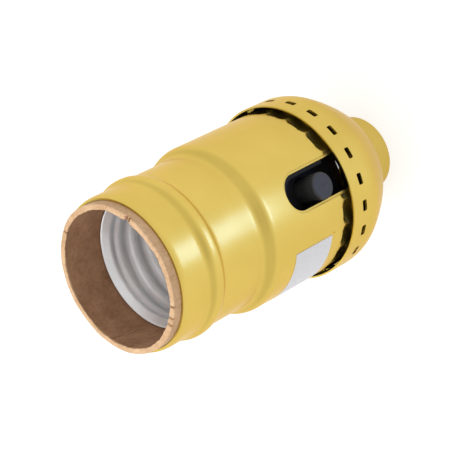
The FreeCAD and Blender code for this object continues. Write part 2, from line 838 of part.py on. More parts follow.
def make_push_bar():
    """Round bar that passes right through the holder, with a slot across it for the rocker's tip."""
    length = size("bar_length")
    radius = size("bar_radius")
    end_round = size("bar_end_round")
    stock = turned("bar_stock", [
        (0.0, 0.0), (radius - end_round, 0.0, end_round, 1), (radius, end_round),
        (radius, length - end_round, end_round, 1), (radius - end_round, length), (0.0, length)])
    place(stock, y=-size("bar_stand_in"), z=size("bar_height"), axis=(1, 0, 0), turn=-90)
    middle = size("bar_travel") / 2
    half = size("bar_slot_half")
    crown = size("bar_height") + radius
    slot = box("bar_slot", (-radius * 2, radius * 2), (middle - half, middle + half),
               (crown - size("bar_slot_depth"), crown + OVER))
    return cut("push_bar", stock, [slot])


def rocker_lean():
    """How far the rocker leans at rest, in degrees, with its tip in the bar's slot."""
    return angle_of_sine(size("bar_travel") / 2 / size("rocker_reach"))


def make_rocker():
    """Rocking contact: a hub on the pin, and an arm down to the bar with a contact button."""
    half = size("rocker_width") / 2
    thick = size("rocker_arm_thick")
    width = size("rocker_width")
    start = size("rocker_width") / -2
    reach = size("rocker_reach")
    hub = rod("rocker_hub", size("rocker_hub_radius"), width, x=start, axis=(0, 1, 0), turn=90)
    arm = box("rocker_arm", (-half, half), (thick / -2, thick / 2), (-reach, NOTHING))
    tip = rod("rocker_tip", size("rocker_tip_radius"), width, x=start, z=-reach, axis=(0, 1, 0), turn=90)
    button = rod("rocker_button", size("button_radius"), size("button_thick"), y=thick / -2,
                 z=-size("rocker_button_reach"), axis=(1, 0, 0), turn=90)
    blank = fuse("rocker_blank", [hub, arm, tip, button])
    bore = rod("rocker_bore", size("pin_radius") + size("pin_gap"), width + OVER * 2, x=start - OVER,
               axis=(0, 1, 0), turn=90)
    solid = cut("contact_rocker", blank, [bore])
    return place(solid, z=size("rocker_pivot_height"), axis=(1, 0, 0), turn=rocker_lean())


def make_rocker_pin():
    length = (size("well_half_width") + size("pin_bite")) * 2
    return labelled(rod("rocker_pin", size("pin_radius"), length, x=-(length / 2),
                        z=size("rocker_pivot_height"), axis=(0, 1, 0), turn=90), "rocker_pin")


def make_parts():
    parts = [
        make_cap(), make_bush(), make_set_screw(), make_shell(), make_liner(), make_label(),
        make_cover(), make_block(), make_screw_shell(),
        make_centre_contact(), make_rivet(),
        make_line_strip(), make_contact_button(), make_neutral_strip(),
        make_push_bar(), make_rocker(), make_rocker_pin(),
    ]
    for name, sign in (("body_screw_left", -1), ("body_screw_right", 1)):
        parts.append(make_body_screw(name, sign))
    for name, sign in (("terminal_screw_line", -1), ("terminal_screw_neutral", 1)):
        parts.append(make_terminal_screw(name, sign))
    return parts


def check(parts):
    """Stops if any object failed, or any sub-part is empty, broken or shares its label."""
    for thing in doc.Objects:
        if "Invalid" in thing.State or "Error" in thing.State:
            raise RuntimeError("%s is %s" % (thing.Name, thing.State))
    labels = [part.Label for part in parts]
    if len(set(labels)) != len(labels):
        raise RuntimeError("two sub-parts share a label")
    for part in parts:
        if part.Shape.isNull() or not part.Shape.isValid():
            raise RuntimeError(part.Label + " has no valid shape")
        if len(part.Shape.Solids) != 1:
            raise RuntimeError("%s has %d solids" % (part.Label, len(part.Shape.Solids)))


def write(parts):
    os.makedirs("parts", exist_ok=True)
    for part in parts:
        part.Shape.exportStep("parts/%s.step" % part.Label)
        print("%-24s %9.1f mm3" % (part.Label, part.Shape.Volume))


sub_parts = make_parts()
doc.recompute()
check(sub_parts)
write(sub_parts)
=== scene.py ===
import math

import bmesh
import bpy
import numpy as np
from mathutils import Matrix, Vector

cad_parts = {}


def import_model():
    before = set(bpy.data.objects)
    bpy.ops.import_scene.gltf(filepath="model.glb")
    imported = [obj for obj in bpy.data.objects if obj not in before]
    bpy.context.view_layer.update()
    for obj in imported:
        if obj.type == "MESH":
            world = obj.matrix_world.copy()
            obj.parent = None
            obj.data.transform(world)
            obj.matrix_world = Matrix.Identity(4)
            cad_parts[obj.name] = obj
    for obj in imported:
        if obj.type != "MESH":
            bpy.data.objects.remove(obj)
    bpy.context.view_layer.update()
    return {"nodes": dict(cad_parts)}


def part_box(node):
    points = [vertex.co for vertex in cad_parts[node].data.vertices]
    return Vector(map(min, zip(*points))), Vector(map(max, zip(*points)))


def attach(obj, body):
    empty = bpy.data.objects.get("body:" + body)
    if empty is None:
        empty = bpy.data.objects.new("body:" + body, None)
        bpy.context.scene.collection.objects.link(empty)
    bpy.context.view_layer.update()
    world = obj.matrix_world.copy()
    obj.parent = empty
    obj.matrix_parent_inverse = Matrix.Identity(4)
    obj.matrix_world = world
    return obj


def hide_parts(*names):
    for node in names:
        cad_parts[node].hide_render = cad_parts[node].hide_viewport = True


# Looks of the lamp holder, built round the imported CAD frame. Everything is in metres, in the CAD
# frame: +Z along the holder from neck to mouth, -Y towards the flush end of the switch bar.

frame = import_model()

MM = 0.001
HOLDER = "holder"
TURNS = 252          # columns round a large turned piece
SHARP_ANGLE = math.radians(35)
SLOT_COUNT = 21      # catch slots round the cap's rim, and dents round the shell's foot
SLOT_TURN = math.radians(10.5)
NOTCH_TURN = math.radians(3.1)
TOWARD_FRONT = Matrix.Rotation(math.pi / 2, 4, "X")    # stands an outline up, its depth towards -Y
TOWARD_BACK = Matrix.Rotation(-math.pi / 2, 4, "X")    # the same with its depth towards +Y


def top_of(node):
    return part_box(node)[1].z


def radius_of(node):
    low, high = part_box(node)
    return (high.x - low.x) / 2


# ---- outlines: points in (radius, height), or in (x, y) for a prism ----

def arc(start, stop, radius, turn, steps):
    """Points after start up to stop on the short arc; turn 1 has its centre on the left of travel."""
    ax, ay = start
    bx, by = stop
    dx, dy = bx - ax, by - ay
    chord = math.hypot(dx, dy)
    rise = math.sqrt(max(radius * radius - chord * chord / 4, 0.0))
    cx = (ax + bx) / 2 - dy / chord * rise * turn
    cy = (ay + by) / 2 + dx / chord * rise * turn
    first = math.atan2(ay - cy, ax - cx)
    sweep = math.atan2(by - cy, bx - cx) - first
    sweep = (sweep + math.pi) % (2 * math.pi) - math.pi
    angles = [first + sweep * (i + 1) / steps for i in range(steps)]
    return [(cx + radius * math.cos(a), cy + radius * math.sin(a)) for a in angles]


def line(start, stop, steps):
    """Points after start up to stop, evenly spaced."""
    return [(start[0] + (stop[0] - start[0]) * (i + 1) / steps,
             start[1] + (stop[1] - start[1]) * (i + 1) / steps) for i in range(steps)]


def bend(start, stop, turn, steps):
    """An S bend between two upright walls."""
    step = abs(stop[0] - start[0])
    rise = abs(stop[1] - start[1])
    radius = (rise * rise + step * step) / (4 * step)
    middle = ((start[0] + stop[0]) / 2, (start[1] + stop[1]) / 2)
    return arc(start, middle, radius, turn, steps) + arc(middle, stop, radius, -turn, steps)


def inset(points, distance):
    """The same open outline moved sideways, to the left of travel, by a sheet's thickness."""
    moved = []
    for i, (x, y) in enumerate(points):
        ax, ay = points[max(i - 1, 0)]
        bx, by = points[min(i + 1, len(points) - 1)]
        dx, dy = bx - ax, by - ay
        length = math.hypot(dx, dy)
        moved.append((x - dy / length * distance, y + dx / length * distance))
    return moved


def circle(radius, count):
    angles = np.linspace(0, 2 * math.pi, count + 1)[:-1]
    return [(radius * math.cos(a), radius * math.sin(a)) for a in angles]


def rectangle(half_width, bottom, top):
    return [(-half_width, bottom), (half_width, bottom), (half_width, top), (-half_width, top)]


# ---- meshes ----

def add_object(name, mesh):
    obj = bpy.data.objects.new(name, mesh)
    bpy.context.scene.collection.objects.link(obj)
    return obj


def from_work(name, work):
    """A new object from a bmesh, which is freed."""
    mesh = bpy.data.meshes.new(name)
    work.to_mesh(mesh)
    work.free()
    return add_object(name, mesh)


def smooth(obj):
    for face in obj.data.polygons:
        face.use_smooth = True
    obj.data.set_sharp_from_angle(angle=SHARP_ANGLE)


def from_grid(name, points, closed_rows):
    """A closed piece from an array of points [row, column, xyz]; columns close on themselves."""
    rows, columns = points.shape[:2]
    faces = []
    for i in range(rows if closed_rows else rows - 1):
        a = i * columns
        b = ((i + 1) % rows) * columns
        for j in range(columns):
            k = (j + 1) % columns
            faces.append((a + j, a + k, b + k, b + j))
    mesh = bpy.data.meshes.new(name)
    mesh.from_pydata(points.reshape(-1, 3).tolist(), [], faces)
    mesh.validate()
    work = bmesh.new()
    work.from_mesh(mesh)
    if not closed_rows:
        bmesh.ops.holes_fill(work, edges=[edge for edge in work.edges if edge.is_boundary])
    bmesh.ops.recalc_face_normals(work, faces=work.faces)
    work.to_mesh(mesh)
    work.free()
    obj = add_object(name, mesh)
    smooth(obj)
    return obj


def turned(name, outline, columns=TURNS, shape=None):
    """Turns a closed outline about Z. shape(r, z, angle) may move each point and returns r and z."""
    outline = np.array(outline)
    angles = np.arange(columns) * 2 * math.pi / columns
    r = np.repeat(outline[:, :1], columns, 1)
    z = np.repeat(outline[:, 1:], columns, 1)
    a = np.repeat(angles[None, :], len(outline), 0)
    if shape is not None:
        r, z = shape(r, z, a)
    return from_grid(name, np.stack([r * np.cos(a), r * np.sin(a), z], -1), True)


def prism(name, outline, low, high, place=Matrix.Identity(4)):
    """An extruded outline between two heights, moved by a matrix."""
    work = bmesh.new()
    bottom = [work.verts.new((x, y, low)) for x, y in outline]
    top = [work.verts.new((x, y, high)) for x, y in outline]
    work.faces.new(bottom)
    work.faces.new(top)
    for i in range(len(outline)):
        k = (i + 1) % len(outline)
        work.faces.new((bottom[i], bottom[k], top[k], top[i]))
    bmesh.ops.recalc_face_normals(work, faces=work.faces)
    work.transform(place)
    return from_work(name, work)


def joined(name, objects):
    """One object from several."""
    work = bmesh.new()
    for obj in objects:
        work.from_mesh(obj.data)
        bpy.data.objects.remove(obj)
    return from_work(name, work)


def carve(obj, cutter):
    """Cuts the cutter out of a piece and removes the cutter."""
    modifier = obj.modifiers.new("carve", "BOOLEAN")
    modifier.operation = "DIFFERENCE"
    modifier.solver = "EXACT"
    modifier.object = cutter
    bpy.context.view_layer.update()
    done = bpy.data.meshes.new_from_object(obj.evaluated_get(bpy.context.evaluated_depsgraph_get()))
    obj.modifiers.clear()
    obj.data = done
    bpy.data.objects.remove(cutter)
    smooth(obj)


# ---- materials ----

def feed(tree, node, inputs):
    """Sets sockets, given by name or number, to a value or joins them to another socket."""
    for key, value in inputs.items():
        if isinstance(value, bpy.types.NodeSocket):
            tree.links.new(value, node.inputs[key])
        else:
            node.inputs[key].default_value = value


def add_node(tree, kind, inputs=None, **settings):
    node = tree.nodes.new(kind)
    for name, value in settings.items():
        setattr(node, name, value)
    feed(tree, node, inputs or {})
    return node


def new_material(name):
    material = bpy.data.materials.new(name)
    material.use_nodes = True
    tree = material.node_tree
    return material, tree, tree.nodes["Principled BSDF"]


def coordinates(tree, scale=(1, 1, 1)):
    source = add_node(tree, "ShaderNodeTexCoord")
    mapping = add_node(tree, "ShaderNodeMapping", {"Vector": source.outputs["Object"], "Scale": scale})
    return mapping.outputs["Vector"]


def noise(tree, vector, scale, detail, roughness=0.5):
    node = add_node(tree, "ShaderNodeTexNoise",
                    {"Vector": vector, "Scale": scale, "Detail": detail, "Roughness": roughness})
    return node.outputs["Fac"]


def ramp(tree, value, *stops):
    """A colour ramp; stops are (position, colour)."""
    node = add_node(tree, "ShaderNodeValToRGB", {"Fac": value})
    while len(node.color_ramp.elements) < len(stops):
        node.color_ramp.elements.new(0.5)
    for element, (position, colour) in zip(node.color_ramp.elements, stops):
        element.position = position
        element.color = (*colour, 1.0)
    return node.outputs["Color"]


def span(tree, value, low, high):
    """Maps a value from 0..1 to low..high."""
    node = add_node(tree, "ShaderNodeMapRange", {"Value": value, "To Min": low, "To Max": high})
    return node.outputs["Result"]


def rising(tree, value, start, stop, interpolation="LINEAR"):
    """0 up to start, then rising to 1 at stop."""
    node = add_node(tree, "ShaderNodeMapRange", {"Value": value, "From Min": start, "From Max": stop},
                    interpolation_type=interpolation)
    return node.outputs["Result"]


def maths(tree, operation, first, second):
    return add_node(tree, "ShaderNodeMath", {0: first, 1: second}, operation=operation).outputs[0]


def bump(tree, value, distance, strength, after=None):
    """A bump of a depth in metres, on top of the bump given as after."""
    inputs = {"Height": value, "Distance": distance, "Strength": strength}
    if after is not None:
        inputs["Normal"] = after
    return add_node(tree, "ShaderNodeBump", inputs).outputs["Normal"]


def mixed(tree, factor, first, second, mode="MIX"):
    """Mixes two colour sockets."""
    node = add_node(tree, "ShaderNodeMix", {0: factor, 6: first, 7: second},
                    data_type="RGBA", blend_type=mode)
    return node.outputs[2]


def gilt_material():
    """Satin gilt aluminium under a clear lacquer, with faint lines round it and shallow waves."""
    material, tree, shader = new_material("satin_gilt")
    vector = coordinates(tree)
    broad = noise(tree, vector, 90, 3)
    lines = noise(tree, coordinates(tree, (1, 1, 14)), 900, 4)
    grain = noise(tree, vector, 5200, 2)
    waves = bump(tree, broad, 0.06 * MM, 0.5)
    feed(tree, shader, {
        "Base Color": ramp(tree, broad, (0.3, (0.595, 0.430, 0.080)), (0.7, (0.640, 0.468, 0.098))),
        "Metallic": 1.0,
        "Roughness": span(tree, lines, 0.30, 0.42),
        "Specular Tint": (0.9, 0.7, 0.4, 1),
        "Coat Weight": 0.3,
        "Coat Roughness": 0.2,
        "Coat IOR": 1.6,
        "Normal": bump(tree, grain, 0.004 * MM, 0.5, waves),
    })
    return material


def paper_material():
    """Brown pressed paper: mottled fibre, paler outside and along the cut edge, and a darker copy inside
    that is painted shade of the tube's hollow.
    """
    material, tree, shader = new_material("pressed_paper")
    vector = coordinates(tree)
    mottle = noise(tree, vector, 260, 6, 0.62)
    fibre = noise(tree, coordinates(tree, (1, 1, 0.25)), 2400, 4, 0.6)
    fleck = noise(tree, vector, 1500, 3, 0.7)
    # the darker copy is painted shade inside the tube; the paler one is the paper outside and along its cut
    # edge
    painted_shade_paper = ramp(tree, mottle, (0.25, (0.29, 0.147, 0.076)), (0.75, (0.47, 0.265, 0.150)))
    pale = ramp(tree, mottle, (0.25, (0.60, 0.365, 0.19)), (0.75, (0.80, 0.54, 0.33)))
    speckle = ramp(tree, fleck, (0.35, (0.72, 0.70, 0.68)), (0.60, (1.0, 1.0, 1.0)))

    top = top_of("shell_liner")
    outer = radius_of("shell_liner")
    height = add_node(tree, "ShaderNodeSeparateXYZ", {0: vector}).outputs["Z"]
    flat = add_node(tree, "ShaderNodeVectorMath", {0: vector, 1: (1, 1, 0)}, operation="MULTIPLY")
    reach = add_node(tree, "ShaderNodeVectorMath", {0: flat.outputs[0]}, operation="LENGTH")
    on_cut_edge = rising(tree, height, top - 0.75 * MM, top - 0.20 * MM)
    on_outside = rising(tree, reach.outputs["Value"], outer - 0.6 * MM, outer - 0.2 * MM)
    base = mixed(tree, maths(tree, "MAXIMUM", on_cut_edge, on_outside), painted_shade_paper, pale)

    feed(tree, shader, {
        "Base Color": mixed(tree, 0.6, base, speckle, "MULTIPLY"),
        "Roughness": 0.86,
        "Specular IOR Level": 0.25,
        "Normal": bump(tree, mottle, 0.25 * MM, 0.5, bump(tree, fibre, 0.10 * MM, 0.7)),
    })
    return material


def rolled_material():
    """Rolled aluminium of the screw shell, dull with fine scratches round the thread."""
    material, tree, shader = new_material("rolled_aluminium")
    broad = noise(tree, coordinates(tree), 160, 4)
    scratch = noise(tree, coordinates(tree, (1, 1, 18)), 700, 5)
    feed(tree, shader, {
        "Base Color": ramp(tree, broad, (0.3, (0.80, 0.81, 0.82)), (0.7, (0.90, 0.91, 0.93))),
        "Metallic": 0.85,
        "Roughness": span(tree, scratch, 0.36, 0.50),
        "Normal": bump(tree, scratch, 0.02 * MM, 0.5),
    })
    return material


def moulded_material(name, shade, roughness, gloss):
    """Black moulded plastic with a fine texture and faint grey dust."""
    material, tree, shader = new_material(name)
    vector = coordinates(tree)
    dust = noise(tree, vector, 420, 5, 0.6)
    fine = noise(tree, vector, 3000, 3)
    clean = tuple(shade * factor for factor in (0.86, 0.85, 0.84))
    dusty = tuple(shade * factor for factor in (1.22, 1.20, 1.18))
    feed(tree, shader, {
        "Base Color": ramp(tree, dust, (0.35, clean), (0.7, dusty)),
        "Roughness": span(tree, dust, roughness - 0.06, roughness + 0.08),
        "Specular IOR Level": gloss,
        "Normal": bump(tree, fine, 0.02 * MM, 0.4),
    })
    return material


def metal_material(name, dull, bright, roughness):
    """Plated or bright strip metal with light wear."""
    material, tree, shader = new_material(name)
    broad = noise(tree, coordinates(tree), 300, 4)
    scratch = noise(tree, coordinates(tree, (8, 1, 1)), 900, 4)
    feed(tree, shader, {
        "Base Color": ramp(tree, broad, (0.3, dull), (0.7, bright)),
        "Metallic": 1.0,
        "Roughness": span(tree, scratch, roughness - 0.05, roughness + 0.1),
        "Normal": bump(tree, scratch, 0.01 * MM, 0.5),
    })
    return material


def label_material():
    """Bare white paper label."""
    material, tree, shader = new_material("bare_label")
    fibre = noise(tree, coordinates(tree), 2200, 4, 0.6)
    feed(tree, shader, {
        "Base Color": ramp(tree, fibre, (0.3, (0.76, 0.75, 0.78)), (0.7, (0.87, 0.86, 0.88))),
        "Roughness": 0.6,
        "Normal": bump(tree, fibre, 0.01 * MM, 0.5),
    })
    return material


GILT = gilt_material()
# near-black moulded material used as painted shade on the inside of the gilt cap
PAINTED_SHADE_INSIDE = moulded_material("cap_inside_painted_shade", 0.03, 0.6, 0.3)
PAPER = paper_material()
ROLLED = rolled_material()
BLACK = moulded_material("black_moulding", 0.009, 0.5, 0.12)
BAR_BLACK = moulded_material("bar_black", 0.034, 0.5, 0.35)
BRASS = metal_material("bright_brass", (0.62, 0.42, 0.15), (0.74, 0.53, 0.22), 0.28)
NICKEL = metal_material("nickel_plate", (0.52, 0.51, 0.49), (0.66, 0.65, 0.62), 0.26)
LABEL = label_material()


def dress(obj, material):
    obj.data.materials.clear()
    obj.data.materials.append(material)


def finish_piece(obj, material, body, nodes):
    """Gives a piece its material, its body and the CAD nodes that it stands for."""
    dress(obj, material)
    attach(obj, body)
    if nodes:
        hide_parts(*nodes)


# ---- cap ----

CAP_SHEET = 0.45 * MM
NECK_RADIUS = 8.5 * MM
NECK_TOP = 6.45 * MM
NECK_ROUND = 0.4 * MM                    # round of the neck's end
NECK_ROOT = 1.3 * MM                     # round between neck and dome
DOME_LOW = (14.07 * MM, 10.0 * MM)       # the dome's arcs meet here
DOME_MIDDLE = (18.36 * MM, 17.0 * MM)    # and here
DOME_TOP = 21.0 * MM
DOME_ROUNDS = (5.45 * MM, 46.2 * MM, 8.98 * MM)
RIM_EASE = 0.08 * MM
SLOT_HEIGHT = 23.0 * MM
SLOT_WIDTH = 2.4 * MM
SLOT_OPENING = 1.25 * MM
SLOT_CORNER = 0.28 * MM
SET_SCREW_HEIGHT = 3.6 * MM
SCREW_HOLE_STEPS = 32
CAP_SCREW_HOLE = 1.7 * MM
SHADE_PAINTED_FROM = 9 * MM                       # the painted shade on the cap's inside starts at this height


def cap_outline():
    """Outer wall from the neck's end up to the rim, then the inner wall back down."""
    radius = radius_of("cap")
    rim = top_of("cap")
    outer = [(NECK_RADIUS - NECK_ROUND, 0.0)]
    outer += arc(outer[-1], (NECK_RADIUS, NECK_ROUND), NECK_ROUND, 1, 5)
    outer += line(outer[-1], (NECK_RADIUS, NECK_TOP), 6)
    outer += arc(outer[-1], (NECK_RADIUS + NECK_ROOT, NECK_TOP + NECK_ROOT), NECK_ROOT, -1, 10)
    for joint, bow in zip((DOME_LOW, DOME_MIDDLE, (radius, DOME_TOP)), DOME_ROUNDS):
        outer += arc(outer[-1], joint, bow, 1, 10)
    outer += line(outer[-1], (radius, rim - 1.5 * RIM_EASE), 14)
    inner = inset(outer, CAP_SHEET)
    lip = [(radius - RIM_EASE, rim - RIM_EASE / 4), (radius - CAP_SHEET / 2, rim),
           (radius - CAP_SHEET + RIM_EASE, rim - RIM_EASE / 4)]
    return outer + lip + inner[::-1]


def slot_outline():
    """A slot with rounded corners, centred on the origin."""
    points = []
    for across, up, start in ((1, -1, -90), (1, 1, 0), (-1, 1, 90), (-1, -1, 180)):
        x = across * (SLOT_WIDTH / 2 - SLOT_CORNER)
        y = up * (SLOT_OPENING / 2 - SLOT_CORNER)
        for angle in np.radians(np.linspace(start, start + 90, 5)):
            points.append((x + SLOT_CORNER * math.cos(angle), y + SLOT_CORNER * math.sin(angle)))
    return points


def slot_frame(angle):
    """Turns an outline's x, y and depth into around, up and outward at an angle round the cap."""
    around = Vector((-math.sin(angle), math.cos(angle), 0))
    up = Vector((0, 0, 1))
    out = Vector((math.cos(angle), math.sin(angle), 0))
    matrix = Matrix((around, up, out)).transposed().to_4x4()
    return Matrix.Translation((0, 0, SLOT_HEIGHT)) @ matrix


def screw_hole(radius, depth):
    """A cutter for the set screw's hole, from a depth inside out through the neck's +Y side."""
    place = Matrix.Translation((0, 0, SET_SCREW_HEIGHT)) @ TOWARD_BACK
    return prism("screw_hole", circle(radius, SCREW_HOLE_STEPS), depth, NECK_RADIUS + 2.5 * MM, place)


def paint_shade_inside(cap):
    """Gives the inner faces of the dome and the band a near-black material: painted shade inside the gilt
    cap.
    """
    cap.data.materials.append(PAINTED_SHADE_INSIDE)
    inner_reach = radius_of("cap") - 0.3 * MM
    for face in cap.data.polygons:
        flat = Vector((face.center.x, face.center.y, 0))
        faces_in = face.normal.dot(flat.normalized()) < -0.2
        if face.center.z > SHADE_PAINTED_FROM and faces_in and flat.length < inner_reach:
            face.material_index = 1


def make_cap():
    """Cap with its neck, the catch slots round its rim and the shell's catch lips in them."""
    radius = radius_of("cap")
    angles = [-math.pi / 2 + SLOT_TURN + 2 * math.pi * i / SLOT_COUNT for i in range(SLOT_COUNT)]
    cap = turned("cap_skin", cap_outline())
    cutters = [prism("slot", slot_outline(), radius - 1.2 * MM, radius + 1.0 * MM, slot_frame(a))
               for a in angles]
    carve(cap, joined("slot_cutters", cutters))
    carve(cap, screw_hole(CAP_SCREW_HOLE, 6.0 * MM))
    finish_piece(cap, GILT, HOLDER, ["cap"])
    paint_shade_inside(cap)

    tab = [(-1.15 * MM, 0.45 * MM), (1.15 * MM, 0.45 * MM), (1.05 * MM, 0.85 * MM), (-1.05 * MM, 0.85 * MM)]
    lips = [prism("lip", tab, radius - 0.95 * MM, radius - 0.4 * MM, slot_frame(a)) for a in angles]
    finish_piece(joined("cap_lips", lips), GILT, HOLDER, [])


# ---- shell ----

SHELL_SHEET = 0.4 * MM
SHELL_TURNS = SLOT_COUNT * 20
BARREL = 18.1 * MM
WAIST = 16.47 * MM
BEAD = 17.08 * MM
FRONT = 16.2 * MM
MOUTH = 15.9 * MM
MOUTH_ROUND = 4.2 * MM
DENT_ROWS_TOP = 30.2 * MM                # below this the wall has many rows, for the dents
BARREL_TOP = 48.3 * MM
WAIST_SPAN = (52.3 * MM, 61.9 * MM)
BEAD_SPAN = (64.2 * MM, 64.6 * MM)
FRONT_SPAN = (67.2 * MM, 71.8 * MM)
DENT_DEPTH = 0.9 * MM
DENT_ROUND = 5.5 * MM
DENT_STRAIGHT_TOP = 27.2 * MM
DENT_TOP_ROUND = 1.5 * MM
NOTCH_RADIUS = 4.38 * MM
NOTCH_CENTRE = 38.6 * MM
NOTCH_STEPS = 97
NOTCH_LIP = 0.55 * MM
PIT_RADIUS = 0.17 * MM
PIT_DEPTH = 0.15 * MM
PIT_HEIGHT = 31.6 * MM
PIT_TURN = math.radians(-33.4)


def shell_wall(shift):
    """The shell's wall from foot to mouth, moved in by shift."""
    low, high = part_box("shell")
    barrel, waist, bead, front, mouth = (radius - shift for radius in (BARREL, WAIST, BEAD, FRONT, MOUTH))
    wall = [(barrel, low.z)]
    wall += line(wall[-1], (barrel, DENT_ROWS_TOP), 34)
    wall += line(wall[-1], (barrel, BARREL_TOP), 12)
    wall += bend(wall[-1], (waist, WAIST_SPAN[0]), 1, 10)
    wall += line(wall[-1], (waist, WAIST_SPAN[1]), 8)
    wall += bend(wall[-1], (bead, BEAD_SPAN[0]), -1, 8)
    wall += line(wall[-1], (bead, BEAD_SPAN[1]), 1)
    wall += bend(wall[-1], (front, FRONT_SPAN[0]), 1, 8)
    wall += line(wall[-1], (front, FRONT_SPAN[1]), 4)
    wall += arc(wall[-1], (mouth, high.z), MOUTH_ROUND, 1, 6)
    return wall


def dent(r, z, angle, grow):
    """Presses the scalloped dents into a wall: the lesser of the wall and each dent's cutter."""
    pitch = 2 * math.pi / SLOT_COUNT
    near = (angle + math.pi / 2 - SLOT_TURN + pitch / 2) % pitch - pitch / 2
    centre = BARREL - DENT_DEPTH + DENT_ROUND
    fillet = DENT_TOP_ROUND + grow
    up = np.clip((z - DENT_STRAIGHT_TOP) / fillet, 0, 1)
    cutter = DENT_ROUND + grow - fillet * (1 - np.sqrt(1 - up ** 2))
    across = centre * np.sin(near)
    pressed = centre * np.cos(near) - np.sqrt(np.maximum(cutter ** 2 - across ** 2, 0.0))
    reached = (cutter > np.abs(across)) & (z < DENT_STRAIGHT_TOP + fillet)
    return np.where(reached, np.minimum(r, pressed), r)


def lip_section():
    """Section of the notch's stepped lip, as (in from the cut, down from the barrel)."""
    section = [(0.0, 0.0)]
    section += arc(section[-1], (0.12 * MM, 0.14 * MM), 0.13 * MM, -1, 4)
    section += arc(section[-1], (0.22 * MM, 0.27 * MM), 0.14 * MM, 1, 4)
    section += line(section[-1], (NOTCH_LIP - 0.08 * MM, 0.29 * MM), 3)
    section += arc(section[-1], (NOTCH_LIP, 0.37 * MM), 0.081 * MM, -1, 4)
    section += [(NOTCH_LIP, 0.55 * MM), (0.05 * MM, 0.55 * MM)]
    return section + [(-0.05 * MM, 0.38 * MM), (-0.05 * MM, 0.05 * MM)]


def make_notch_lip(side):
    """The notch's edge, set in by the punch: a narrow stepped lip following the notch on one side."""
    straight = np.linspace(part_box("shell")[0].z + 0.6 * MM, NOTCH_CENTRE, 40)
    path = [(1, 0, z) for z in straight]
    path += [(math.cos(a), math.sin(a), NOTCH_CENTRE) for a in np.linspace(0, math.pi, NOTCH_STEPS)[1:-1]]
    path += [(-1, 0, z) for z in straight[::-1]]
    section = lip_section()
    points = []
    for across, up, z in path:
        ring = []
        for inward, drop in section:
            reach = NOTCH_RADIUS - inward
            x = reach * across
            y = side * math.sqrt((BARREL - drop) ** 2 - x ** 2)
            ring.append((x, y, z + reach * up))
        points.append(ring)
    lip = from_grid("notch_lip", np.array(points), False)
    lip.data.transform(Matrix.Rotation(NOTCH_TURN, 4, "Z"))
    return lip


def round_to(angle, height):
    """Stands an outline up at a height, facing out at an angle from the front."""
    return Matrix.Rotation(angle, 4, "Z") @ Matrix.Translation((0, 0, height)) @ TOWARD_FRONT


def make_shell():
    """Shell with the dents behind the cap's rim, the switch bar's notches and a tiny pit."""
    outer = shell_wall(0.0)
    inner = shell_wall(SHELL_SHEET)
    count = len(outer)

    def shape(r, z, a):
        outside = dent(r[:count], z[:count], a[:count], 0.0)
        inside = dent(r[count:], z[count:], a[count:], SHELL_SHEET)
        return np.concatenate([outside, inside]), z

    shell = turned("shell_skin", outer + inner[::-1], SHELL_TURNS, shape)
    arch = [(NOTCH_RADIUS * math.cos(a), NOTCH_RADIUS * math.sin(a))
            for a in np.linspace(0, math.pi, NOTCH_STEPS)]
    below = 15 * MM - NOTCH_CENTRE
    notch = arch + [(-NOTCH_RADIUS, below), (NOTCH_RADIUS, below)]
    notch_place = round_to(NOTCH_TURN, NOTCH_CENTRE)
    pit_place = round_to(PIT_TURN, PIT_HEIGHT)
    reach = BARREL + 3.9 * MM
    cutters = [prism("notch", notch, -reach, reach, notch_place),
               prism("pit", circle(PIT_RADIUS, 10), BARREL - PIT_DEPTH, BARREL + 1 * MM, pit_place)]
    carve(shell, joined("shell_cutters", cutters))
    lips = joined("notch_lips", [make_notch_lip(-1), make_notch_lip(1)])
    finish_piece(lips, GILT, HOLDER, [])
    finish_piece(shell, GILT, HOLDER, ["shell"])


# ---- paper liner ----

LINER_BORE = 14.4 * MM
LINER_TURNS = 720
EDGE_BAND = 1.2 * MM                     # the uneven cut edge reaches this far down
CRACK_DEPTH = 0.9 * MM
CREASE_RISE = 0.30 * MM
CREASE_SLANT = 14                        # radians round for each metre down
CRACKS = ((-0.82, 0.012), (-0.77, 0.022), (-2.12, 0.009), (-2.29, 0.010), (-2.40, 0.012), (0.65, 0.010))
CREASES = ((2.44, 0.010), (2.78, 0.012))     # each is an angle and a width round the tube
CUT_WAVES = ((0.060, 5, 0.7), (0.042, 11, 2.1), (0.030, 23, 0), (0.018, 97, 1.3), (0.018, 61, 0))
CUT_LOSS = 0.15
FUZZ_WAVES = ((0.08, 7, 1.0), (0.05, 19, 0), (0.04, 53, 0.6))
FUZZ_SWELL = 0.26


def ripple(angle, waves):
    """A sum of sine waves round the tube; waves are (height in mm, count, phase)."""
    return sum(height * np.sin(count * angle + phase) for height, count, phase in waves) * MM


def ridge(angle, at, width):
    """1 at an angle round the tube, falling to 0 on both sides."""
    gap = (angle - at + math.pi) % (2 * math.pi) - math.pi
    return np.exp(-(gap / width) ** 2)


